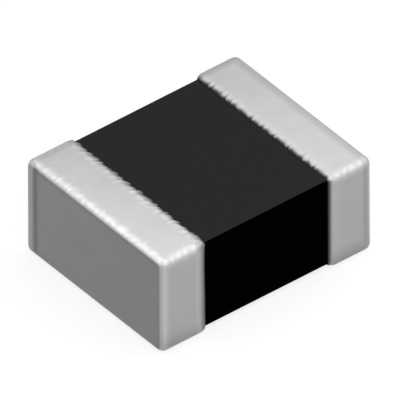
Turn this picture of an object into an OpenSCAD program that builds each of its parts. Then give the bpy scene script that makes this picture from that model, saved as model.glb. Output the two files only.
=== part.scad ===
// Surface-mount multilayer chip inductor, 2.50 x 2.01 x 1.08 mm.
// A sintered ferrite block holds a printed silver winding that climbs through it layer by layer.
// Each end is dipped in silver, then plated with nickel and tin, and wraps on to the four long faces.
// X runs along the length, from the left cap to the right one, and Z is up.
// The origin is on the board surface, under the middle of the part.

/* [Ferrite block] */
// Length of the sintered block
body_l = 2.39; // [2.1:0.01:3.2]
// Width of the block
body_w = 1.92; // [1.6:0.01:2.5]
// Height of the block
body_h = 0.99; // [0.95:0.01:1.6]
// Radius that tumbling leaves on the block's edges
body_edge_r = 0.015; // [0.01:0.005:0.025]

/* [End caps] */
// Length of the left cap, from its end face to its rim
left_band = 0.55; // [0.3:0.01:0.7]
// Length of the right cap, from its end face to its rim
right_band = 0.5; // [0.3:0.01:0.7]
// Thickness of the fired silver over the block's end face
silver_end_t = 0.043; // [0.03:0.001:0.06]
// Thickness of the fired silver on the four wrapped faces
silver_wrap_t = 0.033; // [0.02:0.001:0.045]
// Thickness of the nickel plating
nickel_t = 0.004; // [0.003:0.001:0.006]
// Thickness of the tin plating
tin_t = 0.008; // [0.005:0.001:0.01]
// Radius of every free edge of the finished cap, its rim included
cap_edge_r = 0.08; // [0.07:0.005:0.1]

/* [Winding] */
// Number of printed layers, each three quarters of a turn
winding_layers = 10; // [6:4:14]
// Width of the printed track
track_w = 0.24; // [0.2:0.01:0.3]
// Thickness of the fired track
track_t = 0.03; // [0.02:0.005:0.03]
// Ferrite left between one track and the next
sheet_t = 0.03; // [0.02:0.005:0.03]
// Inner radius of the track's corners
turn_inner_r = 0.1; // [0.05:0.01:0.2]
// Ferrite between the winding and the block's long sides
side_margin = 0.22; // [0.15:0.01:0.3]
// Ferrite between the winding and the block's end faces
end_margin = 0.28; // [0.2:0.01:0.4]
// Width of the tab that leads the winding out to a cap
lead_w = 0.5; // [0.3:0.01:0.8]
// Diameter of the filled hole that joins one layer to the next
via_d = 0.12; // [0.08:0.01:0.14]

/* [Hidden] */
$fn = 48;

// Overall size, worked out from the block and its coats
wrap_t = silver_wrap_t + nickel_t + tin_t;
end_t = silver_end_t + nickel_t + tin_t;
part_l = body_l + 2 * end_t;
part_w = body_w + 2 * wrap_t;
part_h = body_h + 2 * wrap_t;
mid_z = part_h / 2;

// The depth of each coat's outer surface below the finished tin
tin_depth = 0;
nickel_depth = tin_t;
silver_depth = tin_t + nickel_t;

// How deep in the block the centre of the rim's rounding lies
spine_in = cap_edge_r - wrap_t;
// Below the block's surface the rim's curve goes on by this much, to the nearest step of the fine grid
fine_grid = 0.0001;
rim_arc = sqrt(pow(cap_edge_r, 2) - pow(spine_in, 2));
rim_under = round((cap_edge_r - rim_arc) / fine_grid) * fine_grid;

// The track's centre line is a rectangle with rounded corners, centred on the block
turn_r = turn_inner_r + track_w / 2;
loop_x = body_l / 2 - end_margin - track_w / 2;
loop_y = body_w / 2 - side_margin - track_w / 2;
pitch = track_t + sheet_t;

// The four sides of the loop, counter-clockwise from the front: middle point and half of the straight run
side_middle = [[0, -loop_y], [loop_x, 0], [0, loop_y], [-loop_x, 0]];
side_run = [loop_x - turn_r, loop_y - turn_r, loop_x - turn_r, loop_y - turn_r];

LEFT = -1;
RIGHT = 1;

// Height of a layer's middle plane, with the stack centred in the block
function layer_z(k) = mid_z + (k - (winding_layers + 1) / 2) * pitch;

// The side of the loop at whose middle a layer starts: each layer starts one side further back
function start_side(k) = (4 * winding_layers - k) % 4;

module quarter_disc(r) {
    intersection() {
        circle(r);
        square(r);
    }
}

// The same shape at every sign of X, Y and Z that is asked for
module mirrored(x = 0, y = 0, z = 0) {
    for (mx = [0:x], my = [0:y], mz = [0:z])
        mirror([mx, 0, 0]) mirror([0, my, 0]) mirror([0, 0, mz]) children();
}

// A block with the same radius on all twelve edges, centred on the origin
module rounded_block(size, r) {
    flat = [for (s = size) s - 2 * r];
    cube([size.x, flat.y, flat.z], center = true);
    cube([flat.x, size.y, flat.z], center = true);
    cube([flat.x, flat.y, size.z], center = true);
    mirrored(y = 1, z = 1)
        translate([-flat.x / 2, flat.y / 2, flat.z / 2])
            rotate([90, 0, 90]) linear_extrude(flat.x) quarter_disc(r);
    mirrored(x = 1, z = 1)
        translate([flat.x / 2, flat.y / 2, flat.z / 2])
            rotate([90, 0, 0]) linear_extrude(flat.y) quarter_disc(r);
    mirrored(x = 1, y = 1)
        translate([flat.x / 2, flat.y / 2, -flat.z / 2])
            linear_extrude(flat.z) quarter_disc(r);
    mirrored(x = 1, y = 1, z = 1)
        translate(flat / 2) rotate_extrude(angle = 90) quarter_disc(r);
}

// The block's outside, before its winding is let into it
module body_envelope() {
    translate([0, 0, mid_z]) rounded_block([body_l, body_w, body_h], body_edge_r);
}

// Cross-section of the fired track: flat, with round edges
module track_section() {
    square([track_w - track_t, track_t], center = true);
    for (side = [-1, 1])
        translate([side * (track_w - track_t) / 2, 0]) circle(d = track_t);
}

// Straight track along one side, between two places measured from the side's middle
module side_track(side, from, to) {
    translate(side_middle[side % 4]) rotate(90 * side)
        translate([from, 0]) rotate([90, 0, 90]) linear_extrude(to - from) track_section();
}

// Curved track at the corner where a side begins
module corner_track(side) {
    before = (side + 3) % 4;
    corner = side_middle[side % 4] + side_middle[before];
    inset = [sign(corner.x) * turn_r, sign(corner.y) * turn_r];
    translate(corner - inset) rotate(90 * (side - 2))
        rotate_extrude(angle = 90) translate([turn_r, 0]) track_section();
}

// Round end of a track, centred on the middle of a side: facing is 1 where the track arrives and -1 where it leaves
module track_end(side, facing) {
    translate(side_middle[side % 4]) rotate(90 * side - 90 * facing)
        rotate_extrude(angle = 180) intersection() {
            track_section();
            translate([0, -track_t / 2]) square([track_w / 2, track_t]);
        }
}

// Tab from the winding to one end of the block
module lead_tab(end) {
    reach = body_l / 2 - loop_x;
    translate([end * (loop_x + reach / 2), 0]) cube([reach, lead_w, track_t], center = true);
}

// Three quarters of a turn, from the middle of one side to the middle of the side before it
module three_quarter_turn(start) {
    side_track(start, 0, side_run[start % 4]);
    for (step = [1:2])
        side_track(start + step, -side_run[(start + step) % 4], side_run[(start + step) % 4]);
    side_track(start + 3, -side_run[(start + 3) % 4], 0);
    for (step = [1:3]) corner_track(start + step);
    track_end(start, -1);
    track_end(start + 3, 1);
}

module winding_layer(k) {
    color("silver") translate([0, 0, layer_z(k)]) {
        three_quarter_turn(start_side(k));
        if (k == 1) lead_tab(LEFT);
        if (k == winding_layers) lead_tab(RIGHT);
    }
}

// Filled hole from one layer up to the next, where the first ends and the second starts
module via(k) {
    color("silver") translate(side_middle[start_side(k + 1)])
        translate([0, 0, layer_z(k) + track_t / 2]) cylinder(d = via_d, h = sheet_t);
}

module ferrite_body() {
    color("#2a2a2a") difference() {
        body_envelope();
        for (k = [1:winding_layers]) winding_layer(k);
        for (k = [1:winding_layers - 1]) via(k);
    }
}

// The space inside one coat's outer surface, at a depth below the finished tin
module cap_block(end, depth) {
    band = (end == LEFT ? left_band : right_band) + rim_under;
    translate([end * (part_l - band) / 2, 0, mid_z])
        rounded_block([band - 2 * depth, part_w - 2 * depth, part_h - 2 * depth], cap_edge_r - depth);
}

module silver_base(end) {
    color("gainsboro") difference() {
        cap_block(end, silver_depth);
        body_envelope();
    }
}

module nickel_barrier(end) {
    color("darkgray") difference() {
        cap_block(end, nickel_depth);
        cap_block(end, silver_depth);
        body_envelope();
    }
}

module tin_coat(end) {
    color("lightgray") difference() {
        cap_block(end, tin_depth);
        cap_block(end, nickel_depth);
        body_envelope();
    }
}

ferrite_body();
for (k = [1:winding_layers])
    winding_layer(k);
for (k = [1:winding_layers - 1])
    via(k);
silver_base(LEFT);  // left_silver_base
silver_base(RIGHT);  // right_silver_base
nickel_barrier(LEFT);  // left_nickel_barrier
nickel_barrier(RIGHT);  // right_nickel_barrier
tin_coat(LEFT);  // left_tin_coat
tin_coat(RIGHT);  // right_tin_coat
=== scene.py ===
"""Dresses the chip inductor: a sintered ferrite block with a tin-plated cap at each end, on a pale floor."""

import math
from types import SimpleNamespace

import bmesh
import bpy
from mathutils import Matrix, Vector, noise


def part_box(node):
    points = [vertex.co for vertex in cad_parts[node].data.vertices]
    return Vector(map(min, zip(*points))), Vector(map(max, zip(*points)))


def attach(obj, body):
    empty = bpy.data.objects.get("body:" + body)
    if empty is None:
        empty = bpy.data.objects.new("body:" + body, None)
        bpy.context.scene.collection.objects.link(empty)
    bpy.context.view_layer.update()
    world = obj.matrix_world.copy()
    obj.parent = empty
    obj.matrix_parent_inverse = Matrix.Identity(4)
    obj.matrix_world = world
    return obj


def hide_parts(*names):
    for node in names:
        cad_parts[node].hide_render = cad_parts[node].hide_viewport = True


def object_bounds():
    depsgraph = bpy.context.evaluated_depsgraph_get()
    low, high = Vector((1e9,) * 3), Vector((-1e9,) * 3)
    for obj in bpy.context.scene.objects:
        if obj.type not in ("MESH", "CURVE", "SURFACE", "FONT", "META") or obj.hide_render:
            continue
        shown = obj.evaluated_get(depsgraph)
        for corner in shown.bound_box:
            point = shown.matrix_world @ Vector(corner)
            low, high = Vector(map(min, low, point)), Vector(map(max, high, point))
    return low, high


bl_info = {
    "name": "Chip Inductor",
    "version": (1, 0, 0),
    "blender": (4, 5, 0),
    "location": "View3D > Sidebar > Chip Inductor",
    "description": "Makes the caps, finishes and studio of a surface-mount chip inductor",
    "category": "Object",
}

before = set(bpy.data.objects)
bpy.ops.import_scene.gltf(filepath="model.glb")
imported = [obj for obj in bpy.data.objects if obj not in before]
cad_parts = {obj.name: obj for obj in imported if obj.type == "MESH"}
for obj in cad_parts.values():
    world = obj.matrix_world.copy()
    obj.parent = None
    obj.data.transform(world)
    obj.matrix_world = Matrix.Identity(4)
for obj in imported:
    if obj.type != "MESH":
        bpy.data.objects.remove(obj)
CAD_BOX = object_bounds()

MM = 0.001
SIDES = ("left", "right")
WINDING_NODES = sorted(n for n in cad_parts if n.startswith(("winding_layer_", "via_")))

# The photograph's frame is square, and this is its width
PHOTO_PX = 400
# Where the middle of the part stands in the photograph, from its top left corner
PART_AT_PX = (198.9, 203.8)
PX_PER_MM = 108.75
# The camera is parallel, so its distance only has to clear the part
CAMERA_AWAY_MM = 20
CAMERA_RANGE = (0.1 * MM, 1000 * MM)
# Half of the floor's length and width
FLOOR_HALF = 60 * MM

# A Mix node has several sockets of the same name, and these are the numbers of its colours
MIX_FIRST, MIX_SECOND, MIX_RESULT = 6, 7, 2

# An edge of the mesh runs along an axis where at least this share of its length lies that way
ALIGNED = 0.999

# What is stored on each point of the tin for its material, each as a share from 0 to 1: the painted
# highlight, the painted shade, and the end faces' painted shade
MARKS = ("rubbed", "dull", "end_face")

# The tin's beads stray from their even places by up to this share of the pitch, over this length
STRAY = 0.6
STRAY_LENGTH = 0.1 * MM
# How far askew the beads stand that follow one another across the part, and those that do so along it
ACROSS_SLANT = 0.5
ALONG_SLANT = 0.25
# Smaller beads lie among those that follow one another across the part: how many to a large one, and
# their share of the height
SMALL_BEADS = 1.48
SMALL_SHARE = 0.35
# On level faces, the share of the beads that follow one another along the part. Where the sideways part
# of the normal reaches ALONG_TURN, all of them do
ALONG_SHARE = 0.25
ALONG_TURN = 0.5
# From this much painted highlight on, the hollows between the beads have their full depth
HIGHLIGHT_BEADS = 0.5
# By the rim, the hollows' share of their full depth is this many times the beads' painted highlight, up to 1
RIM_HOLLOWS = 1.6
# By the rim, the painted shade in the hollows is this many times the beads' painted highlight
HOLLOW_SHADE = 0.8

# The rim wanders over this length. Its wander, teeth and beads fade out this many edge radii from it
BOW_LENGTH = 0.6 * MM
BOW_FADE = 1.5
TOOTH_FADE = 0.8
BEAD_FADE = 2.0
# A dip of the rim takes at most this share of the tin that a bead's hollow leaves
DIP_SHARE = 0.8

# The parts of its normal say whether a face is level, an end face or a long side. The change to level goes
# from 0 to LEVEL_TURN, and each of the others starts at its first value and goes over its second
LEVEL_TURN = 0.6
END_FROM, END_TURN = 0.5, 0.4
SIDE_FROM, SIDE_TURN = 0.72, 0.24
# The change to the end face's painted shade
FACE_FROM, FACE_TURN = 0.79, 0.12

# On level faces a distance from the front counts for this much more, so the strip of painted highlight is
# narrower
FRONT_NARROWING = 0.5
# The long sides show less painted highlight by SIDE_LOSS. Where they turn level, up to LEVEL_GAIN of that
# loss goes
SIDE_LOSS = 0.5
LEVEL_GAIN = 0.6
# Spacing of the ragged limit of the painted highlight, in bead pitches
RAGGED_PITCH = 1.67
# The share of the painted highlight that goes further reaches this many times as far
WIDE_RUB = 4
# Width over which the painted highlight on the right and back edges fades
BACK_FADE = 0.06 * MM
# The line of painted shade by those edges: half of its width, and how much further in it lies on an end face
LINE_FADE = 0.055 * MM
LINE_END_SHIFT = 0.07 * MM
# How much weaker the line is on level faces, and how much stronger on an end face
LINE_LEVEL_LOSS = 0.25
LINE_END_GAIN = 0.6
# The strip along an end face's back edge, painted lighter: its width, that of its limit, and how much less of
# the end face's painted shade it has
STRIP_WIDTH = 0.1 * MM
STRIP_FADE = 0.04 * MM
STRIP_LOSS = 0.45


def linear(hex_colour, alpha=1.0):
    """The linear colour of an sRGB hex value such as "#C8C8C6"."""
    parts = [int(hex_colour[i : i + 2], 16) / 255 for i in (1, 3, 5)]
    return [p / 12.92 if p <= 0.04045 else ((p + 0.055) / 1.055) ** 2.4 for p in parts] + [alpha]


class CapSettings(bpy.types.PropertyGroup):
    """Sizes of a plated cap, and of the painted highlight and painted shade on its tin."""

    edge_radius: bpy.props.FloatProperty(
        name="Edge Radius", description="Rounding of the cap's edges and of its rim",
        default=0.08 * MM, min=0.0, unit="LENGTH", precision=6)
    plate_thickness: bpy.props.FloatProperty(
        name="Tin Thickness", description="Thickness of the tin over the nickel",
        default=0.008 * MM, min=0.0, unit="LENGTH", precision=6)
    edge_segments: bpy.props.IntProperty(
        name="Edge Segments", description="Faces across each rounding", default=10, min=2, max=32)
    step_along: bpy.props.FloatProperty(
        name="Step Along", description="Spacing of the mesh from the end face to the rim",
        default=0.02 * MM, min=0.005 * MM, unit="LENGTH", precision=6)
    step_around: bpy.props.FloatProperty(
        name="Step Around", description="Spacing of the mesh round the band and over the end face",
        default=0.0105 * MM, min=0.005 * MM, unit="LENGTH", precision=6)
    # Painted highlight: the next settings shape the brighter tin drawn along the edges
    highlight_reach: bpy.props.FloatProperty(
        name="Rubbed Width", description="How far from an edge the tin is rubbed brighter",
        default=0.12 * MM, min=0.0, unit="LENGTH", precision=6)
    highlight_spread: bpy.props.FloatVectorProperty(
        name="Rubbed Spread",
        description="Share of the rubbing that goes further over the top, on the left and right cap",
        default=(0.085, 0.0), size=2, min=0.0, max=1.0)
    highlight_ragged: bpy.props.FloatProperty(
        name="Rubbed Raggedness",
        description="How far the inner limit of the rubbed tin wanders, as a share of its width",
        default=0.24, min=0.0, max=1.0)
    back_highlight: bpy.props.FloatVectorProperty(
        name="Back Rub",
        description="How much the right and back edges of the left and of the right cap are rubbed",
        default=(0.5, 0.33), size=2, min=0.0, max=1.0)
    back_highlight_start: bpy.props.FloatVectorProperty(
        name="Back Rub Start", description="Width of full rubbing on those edges, on the left and right cap",
        default=(0.06 * MM, 0.015 * MM), size=2, min=0.0, unit="LENGTH", precision=6)
    # Painted shade by the rim, where the tin meets the block: how far it reaches and how strong it is on top
    rim_reach: bpy.props.FloatVectorProperty(
        name="Rim Width",
        description="How far from the rim the thin tin is duller on top, on the left and right cap",
        default=(0.1 * MM, 0.03 * MM), size=2, min=0.0, unit="LENGTH", precision=6)
    rim_shade: bpy.props.FloatVectorProperty(
        name="Rim Shade",
        description="How dull the tin is at the rim on top of the left and of the right cap",
        default=(0.5, 1.0), size=2, min=0.0, max=1.0)
    rim_creep: bpy.props.FloatVectorProperty(
        name="Rim Creep",
        description="How far the teeth have crept over the block, on the left and right cap",
        default=(0.008 * MM, 0.0), size=2, min=0.0, unit="LENGTH", precision=6)
    # Painted shade by the rim on the long sides: its full width and how far it fades
    side_rim_start: bpy.props.FloatVectorProperty(
        name="Side Rim Start",
        description="Width of full dullness on the sides of the left and of the right cap",
        default=(0.015 * MM, 0.003 * MM), size=2, min=0.0, unit="LENGTH", precision=6)
    side_rim_reach: bpy.props.FloatVectorProperty(
        name="Side Rim Width", description="Width over which it fades, on the left and on the right cap",
        default=(0.115 * MM, 0.033 * MM), size=2, min=0.0, unit="LENGTH", precision=6)
    bead_pitch: bpy.props.FloatProperty(
        name="Bead Pitch", description="Spacing of the tin's beads and teeth along the edges and the rim",
        default=0.093 * MM, min=0.01 * MM, unit="LENGTH", precision=6)
    bead_depth: bpy.props.FloatProperty(
        name="Bead Depth", description="Depth of the hollows between the beads",
        default=0.003 * MM, min=0.0, unit="LENGTH", precision=6)
    # The hollows between the beads get less painted highlight, and the beads by the rim get a painted
    # highlight
    bead_shade: bpy.props.FloatProperty(
        name="Bead Shade", description="How much less the hollows between the beads are rubbed",
        default=0.52, min=0.0, max=1.0)
    rim_bead_highlight: bpy.props.FloatVectorProperty(
        name="Rim Beads", description="How bright the beads are by the rim of the left and of the right cap",
        default=(0.75, 0.1), size=2, min=0.0, max=1.0)
    # Painted shade all over the long sides, at their foot, and along a line by the back edges
    side_shade: bpy.props.FloatVectorProperty(
        name="Side Shade",
        description="How dull the tin is all over the long sides of the left and of the right cap",
        default=(0.0, 0.04), size=2, min=0.0, max=1.0)
    foot_reach: bpy.props.FloatProperty(
        name="Foot Height", description="Height over which the tin is duller at the foot of the long sides",
        default=0.25 * MM, min=0.0, unit="LENGTH", precision=6)
    foot_shade: bpy.props.FloatProperty(
        name="Foot Shade", description="How dull the tin is at the foot of the long sides",
        default=0.33, min=0.0, max=1.0)
    line_depth: bpy.props.FloatProperty(
        name="Line Place", description="Distance of the dull line from the right and back edges",
        default=0.09 * MM, min=0.0, unit="LENGTH", precision=6)
    line_shade: bpy.props.FloatProperty(
        name="Line Shade", description="How dull the tin is along that line", default=0.25, min=0.0, max=1.0)
    rim_jag: bpy.props.FloatProperty(
        name="Rim Jag", description="How far the rim's small teeth reach along the block",
        default=0.016 * MM, min=0.0, unit="LENGTH", precision=6)
    rim_bow: bpy.props.FloatProperty(
        name="Rim Bow", description="How far the rim wanders over the width of a face",
        default=0.006 * MM, min=0.0, unit="LENGTH", precision=6)


class FinishSettings(bpy.types.PropertyGroup):
    """Colours of the finishes, with painted highlight and painted shade copies of the tin and a painted shade
    copy of the ferrite.
    """

    tin: bpy.props.FloatVectorProperty(
        name="Tin", description="Matt tin on the long faces", subtype="COLOR", size=4,
        default=linear("#A8A8A8"), min=0.0, max=1.0)
    # Painted highlight: brighter tin along the edges that face the light
    tin_rubbed: bpy.props.FloatVectorProperty(
        name="Tin, Edges", description="Brighter tin on the edges, which the plating barrel has rubbed",
        subtype="COLOR", size=4, default=linear("#DCDCDC"), min=0.0, max=1.0)
    # Painted shade: the end faces drawn as darker tin
    tin_end: bpy.props.FloatVectorProperty(
        name="Tin, End Faces", description="Duller tin on the end faces", subtype="COLOR", size=4,
        default=linear("#7F7F7F"), min=0.0, max=1.0)
    # Painted shade: the dark tin that the rim, the foot and the back line are drawn towards
    tin_dull: bpy.props.FloatVectorProperty(
        name="Tin, Dull", description="Dullest tin: the rim comes closest to it, then the foot and the line",
        subtype="COLOR", size=4, default=linear("#363636"), min=0.0, max=1.0)
    # The ferrite's own colour, shown on the top and bottom
    ferrite_top: bpy.props.FloatVectorProperty(
        name="Ferrite, Pressed Faces", description="Top and bottom of the block", subtype="COLOR", size=4,
        default=linear("#2A2A2A"), min=0.0, max=1.0)
    # Painted shade: the block's upright faces drawn near black
    ferrite_painted_shade: bpy.props.FloatVectorProperty(
        name="Ferrite, Cut Faces", description="Sides of the block, where it was cut from the stack",
        subtype="COLOR", size=4, default=linear("#030303"), min=0.0, max=1.0)
    silver: bpy.props.FloatVectorProperty(
        name="Silver", description="Fired silver", subtype="COLOR", size=4,
        default=linear("#E4E2DC"), min=0.0, max=1.0)
    nickel: bpy.props.FloatVectorProperty(
        name="Nickel", description="Plated nickel", subtype="COLOR", size=4,
        default=linear("#B9B2A6"), min=0.0, max=1.0)


class StageSettings(bpy.types.PropertyGroup):
    """Camera, light and floor."""

    azimuth: bpy.props.FloatProperty(
        name="Azimuth", description="Turn of the camera round the part, from the front towards the left",
        default=math.radians(38.53), subtype="ANGLE")
    elevation: bpy.props.FloatProperty(
        name="Elevation", description="Height of the camera above the horizon",
        default=math.radians(38.87), subtype="ANGLE")
    roll: bpy.props.FloatProperty(
        name="Roll", description="Turn of the camera about its own axis",
        default=math.radians(-0.28), subtype="ANGLE")
    softbox_level: bpy.props.FloatProperty(
        name="Softbox Level", description="Brightness of the softbox over the part", default=1.13, min=0.0)
    softbox_low: bpy.props.FloatVectorProperty(
        name="Softbox Corner", description="The softbox's front left corner",
        default=(-9.5 * MM, -36 * MM, 8 * MM), subtype="TRANSLATION", unit="LENGTH")
    softbox_size: bpy.props.FloatVectorProperty(
        name="Softbox Size", description="The softbox's size along and across the part",
        default=(23.5 * MM, 45 * MM), size=2, unit="LENGTH")
    sky_level: bpy.props.FloatProperty(
        name="Room Level", description="Brightness of the room as the floor and the part receive it",
        default=0.21, min=0.0)
    floor: bpy.props.FloatVectorProperty(
        name="Floor", description="Pale floor", subtype="COLOR", size=4,
        default=linear("#8C8C8C"), min=0.0, max=1.0)
    floor_fill: bpy.props.FloatProperty(
        name="Floor Fill", description="Share of white that the floor adds for the eye and for reflections",
        default=0.79, min=0.0, max=1.0)


def settings(name):
    """The scene's own settings group of that name."""
    return getattr(bpy.context.scene, "chip_inductor_" + name)


def node(tree, kind, inputs=None, **values):
    """Adds a node with its settings. Each input is a value, or another node's output to link."""
    made = tree.nodes.new(kind)
    for name, value in values.items():
        setattr(made, name, value)
    for socket, value in (inputs or {}).items():
        if isinstance(value, bpy.types.NodeSocket):
            tree.links.new(value, made.inputs[socket])
        else:
            made.inputs[socket].default_value = value
    return made


def new_material(name):
    """An empty node material, its tree and its output node."""
    material = bpy.data.materials.new(name)
    material.use_nodes = True
    tree = material.node_tree
    tree.nodes.clear()
    return material, tree, node(tree, "ShaderNodeOutputMaterial")


def millimetres(tree):
    """The place on the piece, in millimetres."""
    place = node(tree, "ShaderNodeTexCoord").outputs["Object"]
    return node(tree, "ShaderNodeMapping", {"Vector": place, "Scale": [1 / MM] * 3}).outputs["Vector"]


def matt_tin():
    """Barrel-plated matt tin: a rough grey metal whose grain breaks up the light along the edges. Its colour
    carries painted highlight and painted shade.
    """
    finish = settings("finish")
    material, tree, output = new_material("matt_tin_plate")
    place = millimetres(tree)
    # Grain of the plating, in millimetres. The real one is about 0.005 wide, and is drawn coarser so that it
    # shows
    grain_width, grain_height = 0.03, 0.0012
    # Broad patches where the plating barrel has rubbed more or less, in millimetres
    patch_width, patch_height = 0.35, 0.004
    # Each face is a little fuller in the middle, as dipping leaves it. The height falls with the square of
    # the distance from the part's long axis, by this much at 1 mm, and more where the distance is across
    crown, crown_across = 0.03, 1.15
    # Where the painted highlight lies, the tin is also smoother
    rough, rough_painted_highlight = 0.46, 0.36

    grain = node(tree, "ShaderNodeTexNoise", {
        "Vector": place, "Scale": 1 / grain_width, "Detail": 3.0, "Roughness": 0.6})
    patches = node(tree, "ShaderNodeTexNoise", {
        "Vector": place, "Scale": 1 / patch_width, "Detail": 4.0, "Roughness": 0.6})
    rubbed, dull, end_face = [
        node(tree, "ShaderNodeAttribute", attribute_name=mark).outputs["Fac"] for mark in MARKS]
    colour = list(finish.tin)
    # The tin's colour takes on the painted highlight, then the end faces' painted shade, then the painted
    # shade by the rim, at the foot and on the back line
    for share, other in ((rubbed, finish.tin_rubbed), (end_face, finish.tin_end), (dull, finish.tin_dull)):
        mixed = node(tree, "ShaderNodeMix", {
            "Factor": share, MIX_FIRST: colour, MIX_SECOND: list(other)}, data_type="RGBA")
        colour = mixed.outputs[MIX_RESULT]
    # Most of the noise lies between these limits. The patches vary the tone by three hundredths either way
    tone = node(tree, "ShaderNodeMapRange", {
        "Value": patches.outputs["Fac"], "From Min": 0.3, "From Max": 0.7, "To Min": 0.97, "To Max": 1.03})
    tinted = node(tree, "ShaderNodeVectorMath", {0: colour, 1: tone.outputs["Result"]}, operation="MULTIPLY")
    roughness = node(tree, "ShaderNodeMapRange", {"Value": rubbed, "To Min": rough, "To Max": rough_painted_highlight})

    axis_height = (CAD_BOX[0].z + CAD_BOX[1].z) / 2 / MM
    from_axis = node(tree, "ShaderNodeVectorMath", {
        0: place, 1: [0.0, 0.0, axis_height]}, operation="SUBTRACT")
    away = node(tree, "ShaderNodeVectorMath", {
        0: from_axis.outputs["Vector"], 1: [0.0, crown_across, 1.0]}, operation="MULTIPLY").outputs["Vector"]
    square = node(tree, "ShaderNodeVectorMath", {0: away, 1: away}, operation="DOT_PRODUCT")
    fall_off = node(tree, "ShaderNodeMath", {0: square.outputs["Value"], 1: -crown}, operation="MULTIPLY")
    waves = node(tree, "ShaderNodeMath", {
        0: patches.outputs["Fac"], 1: patch_height, 2: fall_off.outputs["Value"]}, operation="MULTIPLY_ADD")
    relief = node(tree, "ShaderNodeMath", {
        0: grain.outputs["Fac"], 1: grain_height, 2: waves.outputs["Value"]}, operation="MULTIPLY_ADD")
    bump = node(tree, "ShaderNodeBump", {"Height": relief.outputs["Value"], "Strength": 1.0, "Distance": MM})
    shader = node(tree, "ShaderNodeBsdfPrincipled", {
        "Base Color": tinted.outputs["Vector"], "Metallic": 1.0, "Roughness": roughness.outputs["Result"],
        "Normal": bump.outputs["Normal"]})
    tree.links.new(shader.outputs["BSDF"], output.inputs["Surface"])
    return material


def sintered_ferrite():
    """Sintered nickel-zinc ferrite: a black, matt, finely grained ceramic, with painted shade making its
    upright faces deeper black.
    """
    finish = settings("finish")
    material, tree, output = new_material("sintered_ferrite")
    place = millimetres(tree)
    # Grain of the ceramic, in millimetres. The real one is a few thousandths wide, and is drawn coarser so
    # that it shows
    grain_width, grain_height = 0.025, 0.0006
    grain = node(tree, "ShaderNodeTexNoise", {
        "Vector": place, "Scale": 1 / grain_width, "Detail": 3.0, "Roughness": 0.6})
    facing = node(tree, "ShaderNodeNewGeometry")
    upright = node(tree, "ShaderNodeSeparateXYZ", {"Vector": facing.outputs["True Normal"]})
    level = node(tree, "ShaderNodeMath", {0: upright.outputs["Z"]}, operation="ABSOLUTE")
    # The top and bottom keep the ferrite's own colour, and the upright faces get a painted shade
    level_share = node(tree, "ShaderNodeMapRange", {
        "Value": level.outputs["Value"], "From Min": 0.85, "From Max": 1.0})
    base = node(tree, "ShaderNodeMix", {
        "Factor": level_share.outputs["Result"], MIX_FIRST: list(finish.ferrite_painted_shade),
        MIX_SECOND: list(finish.ferrite_top)}, data_type="RGBA")
    bump = node(tree, "ShaderNodeBump", {
        "Height": grain.outputs["Fac"], "Strength": 1.0, "Distance": grain_height * MM})
    # It scatters what little light it returns, so it has no gloss
    shader = node(tree, "ShaderNodeBsdfPrincipled", {
        "Base Color": base.outputs[MIX_RESULT], "Metallic": 0.0, "Roughness": 0.6, "Specular IOR Level": 0.0,
        "Normal": bump.outputs["Normal"]})
    tree.links.new(shader.outputs["BSDF"], output.inputs["Surface"])
    return material


def fired_metal(name, colour, grain_mm, roughness, relief_mm):
    """A fired or plated metal film: its colour, the width and height of its grain, and its roughness."""
    material, tree, output = new_material(name)
    place = millimetres(tree)
    grain = node(tree, "ShaderNodeTexNoise", {"Vector": place, "Scale": 1 / grain_mm, "Detail": 3.0})
    height = grain.outputs["Fac"]
    # The hollows of the grain are darker than its tops
    tone = node(tree, "ShaderNodeMapRange", {"Value": height, "To Min": 0.88, "To Max": 1.05})
    tinted = node(tree, "ShaderNodeVectorMath", {
        0: list(colour)[:3], 1: tone.outputs["Result"]}, operation="MULTIPLY")
    bump = node(tree, "ShaderNodeBump", {"Height": height, "Strength": 1.0, "Distance": relief_mm * MM})
    shader = node(tree, "ShaderNodeBsdfPrincipled", {
        "Base Color": tinted.outputs["Vector"], "Metallic": 1.0, "Roughness": roughness,
        "Normal": bump.outputs["Normal"]})
    tree.links.new(shader.outputs["BSDF"], output.inputs["Surface"])
    return material


def give(material, names):
    """Puts a material on CAD nodes."""
    for name in names:
        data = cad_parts[name].data
        data.materials.clear()
        data.materials.append(material)


def rise(x, start, width):
    """Rises smoothly from 0 where x is at the start to 1 where it is a width further on."""
    share = min(1.0, max(0.0, (x - start) / width))
    return share * share * (3 - 2 * share)


def fall(x, start, width):
    """Falls smoothly from 1 where x is at the start to 0 where it is a width further on."""
    return 1 - rise(x, start, width)


def edges_along(bm, axis):
    """The edges that run along one axis."""
    found = []
    for edge in bm.edges:
        run = edge.verts[1].co - edge.verts[0].co
        if abs(run[axis]) > ALIGNED * run.length:
            found.append(edge)
    return found


def cap_plan(side):
    """The settings of one cap and where it stands. Of a setting that holds a pair, the cap takes its own."""
    shared = settings("cap")
    own = SIDES.index(side)
    plan = SimpleNamespace()
    for name in CapSettings.__annotations__:
        value = getattr(shared, name)
        setattr(plan, name, value if isinstance(value, (int, float)) else value[own])
    plan.low, plan.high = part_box(side + "_tin_coat")
    # The way out of the part along x, at this end
    plan.out = (-1, 1)[own]
    plan.rim_x = (plan.high.x, plan.low.x)[own]
    return plan


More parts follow.
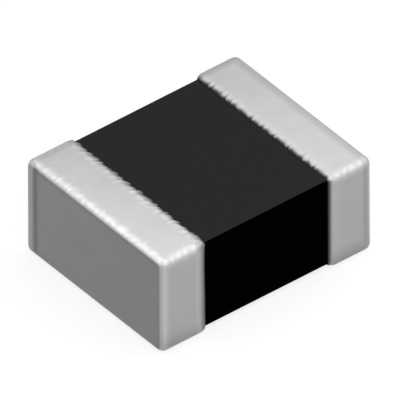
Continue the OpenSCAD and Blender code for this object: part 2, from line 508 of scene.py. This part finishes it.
def hollow_at(place, pitch, sideways=0.0):
    """Lies between -1 on a bead of the tin and 1 in the hollow beside it.

    On level faces most beads follow one another across the part, as along the rim. Where the surface turns
    sideways, as on the front edge, they follow one another along the part. All of them stand a little askew.
    """
    stray = STRAY * noise.noise(place / STRAY_LENGTH)
    turns = (ACROSS_SLANT * place.x + place.y) / pitch + stray
    across = (1 - SMALL_SHARE) * math.sin(math.tau * turns)
    across += SMALL_SHARE * math.sin(math.tau * SMALL_BEADS * turns)
    along = math.sin(math.tau * ((place.x - ALONG_SLANT * place.y) / pitch - stray))
    return across + (ALONG_SHARE + (1 - ALONG_SHARE) * rise(sideways, 0, ALONG_TURN)) * (along - across)


def on_level(vert):
    """1 on the top and the bottom, and less towards upright faces."""
    return rise(abs(vert.normal.z), 0, LEVEL_TURN)


def on_end(vert):
    """1 on an end face, and less towards the other faces."""
    return rise(abs(vert.normal.x), END_FROM, END_TURN)


def back_depth(vert, cap):
    """How far a point lies from the part's right end or from the cap's back, whichever is nearer."""
    return min(CAD_BOX[1].x - vert.co.x, cap.high.y - vert.co.y)


def painted_highlight_at(vert, cap):
    """How much painted highlight the tin has: most on the edges that meet at the part's left front top
    corner.
    """
    level, sideways = abs(vert.normal.z), abs(vert.normal.y)
    # Of the distances from the left, front and top, the second shortest is that to the nearest such edge
    front = (vert.co.y - cap.low.y) * (1 + FRONT_NARROWING * level)
    depth = sorted((vert.co.x - CAD_BOX[0].x, front, cap.high.z - vert.co.z))[1]
    # The painted highlight shows on level faces and, more weakly, on the long sides, but not on an end face
    sheen = 1 - (1 - level) * fall(sideways, SIDE_FROM, SIDE_TURN)
    sheen *= 1 - SIDE_LOSS * sideways * (1 - LEVEL_GAIN * level)
    ragged = 1 - cap.highlight_ragged * level * hollow_at(vert.co, RAGGED_PITCH * cap.bead_pitch)
    edge_highlight = fall(depth, 0, cap.highlight_reach * ragged)
    wide = cap.highlight_spread * level * (1 - edge_highlight) * fall(depth, 0, WIDE_RUB * cap.highlight_reach)
    by_back = cap.back_highlight * fall(back_depth(vert, cap), cap.back_highlight_start, BACK_FADE) * (1 - on_end(vert))
    return max(sheen * (edge_highlight + wide), by_back)


def painted_shade_at(vert, cap):
    """How much painted shade the tin has: by the rim, at the foot of the long sides and on the line by the
    back edges.
    """
    level, sideways = abs(vert.normal.z), abs(vert.normal.y)
    fade = cap.rim_reach + (cap.side_rim_reach - cap.rim_reach) * sideways
    by_rim = fall(abs(vert.co.x - cap.rim_x), cap.side_rim_start * sideways, fade)
    by_rim *= 1 - (1 - cap.rim_shade) * level
    foot = fall(vert.co.z - cap.low.z, 0, cap.foot_reach)
    line = fall(abs(back_depth(vert, cap) - cap.line_depth - LINE_END_SHIFT * on_end(vert)), 0, LINE_FADE)
    line *= cap.line_shade * (1 - LINE_LEVEL_LOSS * level + LINE_END_GAIN * on_end(vert))
    return max(by_rim, (cap.side_shade + cap.foot_shade * foot) * sideways, line)


def end_shade_at(vert, cap):
    """How much of the end face's painted shade a point has. The strip along the face's back edge has less of
    it, so it is painted lighter.
    """
    strip = fall(cap.high.y - vert.co.y, STRIP_WIDTH, STRIP_FADE)
    return rise(vert.normal.x * cap.out, FACE_FROM, FACE_TURN) * (1 - STRIP_LOSS * strip)


def mark_surfaces(bm, cap):
    """Stores on each point its painted highlight, its painted shade and its share of the end face's painted
    shade.
    """
    rubbed, dull, end_face = [bm.verts.layers.float.new(mark) for mark in MARKS]
    for vert in bm.verts:
        vert[rubbed] = painted_highlight_at(vert, cap)
        vert[dull] = painted_shade_at(vert, cap)
        vert[end_face] = end_shade_at(vert, cap)


def bead_edges(bm, cap):
    """Lets the surface down between the small beads that the tin forms along the edges and the rim. It paints
    the beads by the rim with highlight, and the hollows with less highlight and some shade.
    """
    rubbed = bm.verts.layers.float["rubbed"]
    dull = bm.verts.layers.float["dull"]
    rim_depth = min(1, RIM_HOLLOWS * cap.rim_bead_highlight)
    for vert in bm.verts:
        by_rim = fall(abs(vert.co.x - cap.rim_x), 0, BEAD_FADE * cap.edge_radius)
        hollow = (0.5 + 0.5 * hollow_at(vert.co, cap.bead_pitch, abs(vert.normal.y))) * on_level(vert)
        depth = max(rise(vert[rubbed], 0, HIGHLIGHT_BEADS), rim_depth * by_rim)
        vert.co -= vert.normal * cap.bead_depth * hollow * depth
        vert[rubbed] = max(vert[rubbed], cap.rim_bead_highlight * by_rim) * (1.0 - cap.bead_shade * hollow)
        vert[dull] = 1 - (1 - vert[dull]) * (1 - HOLLOW_SHADE * cap.rim_bead_highlight * by_rim * hollow)


def wave_rim(bm, cap):
    """Lets the rim wander along the block, with small teeth, as a dipped edge does."""
    # With a bead's hollow, a dip stays less than the tin's thickness, so that the nickel stays covered
    deepest = DIP_SHARE * cap.bead_depth - DIP_SHARE * cap.plate_thickness
    for vert in bm.verts:
        depth = abs(vert.co.x - cap.rim_x)
        if depth > BOW_FADE * cap.edge_radius:
            continue
        at_rim = Vector((cap.rim_x, vert.co.y, vert.co.z))
        bow = noise.noise(at_rim / BOW_LENGTH) * fall(depth, 0, BOW_FADE * cap.edge_radius)
        tooth = (cap.rim_creep - cap.rim_jag * hollow_at(at_rim, cap.bead_pitch)) * on_level(vert)
        tooth *= fall(depth, 0, TOOTH_FADE * cap.edge_radius)
        vert.co.x -= cap.out * max(cap.rim_bow * bow + tooth, deepest)


def cap_shell(cap):
    """The tin of one cap: a five-sided shell with rounded edges, whose rim rolls down to the block."""
    low, high, radius = cap.low, cap.high, cap.edge_radius
    block_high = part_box("ferrite_body")[1]
    # The blank is longer than the band, because the rim's rounding goes on below the block's surface
    stand = high.y - block_high.y
    over = radius - math.sqrt(radius**2 - (radius - stand) ** 2)
    size = Vector((high.x - low.x + over, high.y - low.y, high.z - low.z))
    middle = Vector((cap.rim_x + cap.out * (size.x / 2 - over), 0.0, (low.z + high.z) / 2))

    bm = bmesh.new()
    blank = Matrix.Translation(middle) @ Matrix.Diagonal((*size, 1.0))
    bmesh.ops.create_cube(bm, size=1.0, matrix=blank)
    bmesh.ops.bevel(bm, geom=bm.edges[:], offset=radius, offset_type="OFFSET", affect="EDGES",
                    segments=cap.edge_segments, profile=0.5, material=-1)
    for axis, step in enumerate((cap.step_along, cap.step_around, cap.step_around)):
        # The edges across the roundings are far shorter, and stay whole
        long_edges = [e for e in edges_along(bm, axis) if e.calc_length() > 3 * step]
        cuts = round((size[axis] - 2 * radius) / step) - 1
        bmesh.ops.subdivide_edges(bm, edges=long_edges, cuts=cuts, use_grid_fill=True)
    bmesh.ops.bisect_plane(bm, geom=bm.verts[:] + bm.edges[:] + bm.faces[:], dist=1e-9,
                           plane_co=(cap.rim_x, 0, 0), plane_no=(-cap.out, 0, 0), clear_outer=True)
    bmesh.ops.recalc_face_normals(bm, faces=bm.faces[:])
    bm.normal_update()
    mark_surfaces(bm, cap)
    bead_edges(bm, cap)
    wave_rim(bm, cap)
    bmesh.ops.solidify(bm, geom=bm.faces[:], thickness=cap.plate_thickness)
    return bm


def finished(name, bm, material):
    """Makes a smooth-shaded object of a bmesh, at the origin."""
    for face in bm.faces:
        face.smooth = True
    mesh = bpy.data.meshes.new(name)
    bm.to_mesh(mesh)
    bm.free()
    mesh.materials.append(material)
    made = bpy.data.objects.new(name, mesh)
    bpy.context.scene.collection.objects.link(made)
    return made


class INDUCTOR_OT_tin_caps(bpy.types.Operator):
    """Make the tin that shows on both caps"""

    bl_idname = "inductor.tin_caps"
    bl_label = "Tin Caps"

    def execute(self, context):
        material = matt_tin()
        for side in SIDES:
            piece = finished(side + "_cap_tin", cap_shell(cap_plan(side)), material)
            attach(piece, "root")
            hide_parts(side + "_tin_coat")
        return {"FINISHED"}


class INDUCTOR_OT_cap_layers(bpy.types.Operator):
    """Finish the fired silver and the nickel under the tin"""

    bl_idname = "inductor.cap_layers"
    bl_label = "Cap Layers"

    def execute(self, context):
        finish = settings("finish")
        # Silver paste with glass frit, fired: pale, matt and pitted
        silver = fired_metal("dipped_silver", finish.silver, grain_mm=0.02, roughness=0.5, relief_mm=0.002)
        give(silver, [side + "_silver_base" for side in SIDES])
        # Bright nickel: warm grey, with a finer grain and more gloss than the tin
        nickel = fired_metal("barrel_nickel", finish.nickel, grain_mm=0.01, roughness=0.25, relief_mm=0.0004)
        give(nickel, [side + "_nickel_barrier" for side in SIDES])
        return {"FINISHED"}


class INDUCTOR_OT_ferrite_block(bpy.types.Operator):
    """Finish the ferrite block"""

    bl_idname = "inductor.ferrite_block"
    bl_label = "Ferrite Block"

    def execute(self, context):
        give(sintered_ferrite(), ["ferrite_body"])
        return {"FINISHED"}


class INDUCTOR_OT_winding(bpy.types.Operator):
    """Finish the printed winding and its vias"""

    bl_idname = "inductor.winding"
    bl_label = "Printed Winding"

    def execute(self, context):
        # Printed silver, fired inside the ferrite: matt white metal with a mesh-fine grain
        finish = settings("finish")
        silver = fired_metal("printed_silver", finish.silver, grain_mm=0.015, roughness=0.4, relief_mm=0.001)
        give(silver, WINDING_NODES)
        return {"FINISHED"}


def seen_by_eye_or_gloss(tree):
    """1 for rays from the eye and for those that a reflection or clear material sends on, else 0."""
    path = node(tree, "ShaderNodeLightPath")
    either = node(tree, "ShaderNodeMath", {
        0: path.outputs["Is Camera Ray"], 1: path.outputs["Is Glossy Ray"]}, operation="MAXIMUM")
    seen = node(tree, "ShaderNodeMath", {
        0: either.outputs["Value"], 1: path.outputs["Is Transmission Ray"]}, operation="MAXIMUM")
    return seen.outputs["Value"]


def pale_floor():
    """Smooth pale board that takes the part's shadow. It adds some white for the eye and for reflections."""
    stage = settings("stage")
    material, tree, output = new_material("pale_board")
    fill = node(tree, "ShaderNodeMath", {
        0: seen_by_eye_or_gloss(tree), 1: stage.floor_fill}, operation="MULTIPLY")
    glow = node(tree, "ShaderNodeEmission", {"Strength": fill.outputs["Value"]})
    board = node(tree, "ShaderNodeBsdfDiffuse", {"Color": list(stage.floor)})
    both = node(tree, "ShaderNodeAddShader", {0: board.outputs["BSDF"], 1: glow.outputs["Emission"]})
    tree.links.new(both.outputs["Shader"], output.inputs["Surface"])
    return material


def softbox(corner, size, level):
    """A level softbox that faces down, with the same brightness at any size."""
    lamp = bpy.data.lights.new("softbox", "AREA")
    lamp.shape = "RECTANGLE"
    lamp.size, lamp.size_y = size
    # A lamp's brightness is its energy over pi times its area
    lamp.energy = level * math.pi * size[0] * size[1]
    made = bpy.data.objects.new("softbox", lamp)
    made.location = (corner[0] + size[0] / 2, corner[1] + size[1] / 2, corner[2])
    made.visible_camera = False
    bpy.context.scene.collection.objects.link(made)
    return made


class INDUCTOR_OT_stage(bpy.types.Operator):
    """Set the floor, the light and the camera"""

    bl_idname = "inductor.stage"
    bl_label = "Stage"

    def execute(self, context):
        stage = settings("stage")
        scene = context.scene
        bm = bmesh.new()
        bmesh.ops.create_grid(bm, x_segments=1, y_segments=1, size=FLOOR_HALF)
        floor = finished("floor", bm, pale_floor())

        world = bpy.data.worlds.new("room")
        world.use_nodes = True
        tree = world.node_tree
        tree.nodes.clear()
        # The eye and reflections meet a white room, and scattered light a dim one
        level = node(tree, "ShaderNodeMix", {
            "Factor": seen_by_eye_or_gloss(tree), "A": stage.sky_level, "B": 1.0})
        sky = node(tree, "ShaderNodeBackground", {"Strength": level.outputs["Result"]})
        tree.links.new(sky.outputs["Background"], node(tree, "ShaderNodeOutputWorld").inputs["Surface"])
        scene.world = world

        softbox(stage.softbox_low, stage.softbox_size, stage.softbox_level)

        low, high = CAD_BOX
        # The way from the part to the camera
        back = Vector((-math.sin(stage.azimuth) * math.cos(stage.elevation),
                       -math.cos(stage.azimuth) * math.cos(stage.elevation), math.sin(stage.elevation)))
        turn = back.to_track_quat("Z", "Y").to_matrix() @ Matrix.Rotation(stage.roll, 3, "Z")
        off_x = (PHOTO_PX / 2 - PART_AT_PX[0]) / PX_PER_MM * MM
        off_y = (PART_AT_PX[1] - PHOTO_PX / 2) / PX_PER_MM * MM
        lens = bpy.data.cameras.new("camera")
        lens.type = "ORTHO"
        lens.ortho_scale = PHOTO_PX / PX_PER_MM * MM
        lens.clip_start, lens.clip_end = CAMERA_RANGE
        camera = bpy.data.objects.new("camera", lens)
        camera.location = (low + high) / 2 + back * CAMERA_AWAY_MM * MM + turn @ Vector((off_x, off_y, 0))
        camera.rotation_euler = turn.to_euler()
        scene.collection.objects.link(camera)
        scene.camera = camera
        scene.view_settings.view_transform = "Standard"
        return {"FINISHED"}


class INDUCTOR_PT_panel(bpy.types.Panel):
    """The chip inductor's settings and steps"""

    bl_label = "Chip Inductor"
    bl_idname = "INDUCTOR_PT_panel"
    bl_space_type = "VIEW_3D"
    bl_region_type = "UI"
    bl_category = "Chip Inductor"

    def draw(self, context):
        for group in (settings("cap"), settings("finish"), settings("stage")):
            box = self.layout.box()
            for name in group.__annotations__:
                box.prop(group, name)
        for step in STEPS:
            self.layout.operator(step.bl_idname)


STEPS = (INDUCTOR_OT_tin_caps, INDUCTOR_OT_cap_layers, INDUCTOR_OT_ferrite_block, INDUCTOR_OT_winding,
         INDUCTOR_OT_stage)
GROUPS = {"cap": CapSettings, "finish": FinishSettings, "stage": StageSettings}
CLASSES = (*GROUPS.values(), *STEPS, INDUCTOR_PT_panel)


def register():
    for cls in CLASSES:
        bpy.utils.register_class(cls)
    for name, cls in GROUPS.items():
        setattr(bpy.types.Scene, "chip_inductor_" + name, bpy.props.PointerProperty(type=cls))


def unregister():
    for name in GROUPS:
        delattr(bpy.types.Scene, "chip_inductor_" + name)
    for cls in reversed(CLASSES):
        bpy.utils.unregister_class(cls)


def main():
    register()
    bpy.ops.inductor.tin_caps()
    bpy.ops.inductor.cap_layers()
    bpy.ops.inductor.ferrite_block()
    bpy.ops.inductor.winding()
    bpy.ops.inductor.stage()


if __name__ == "__main__":
    main()
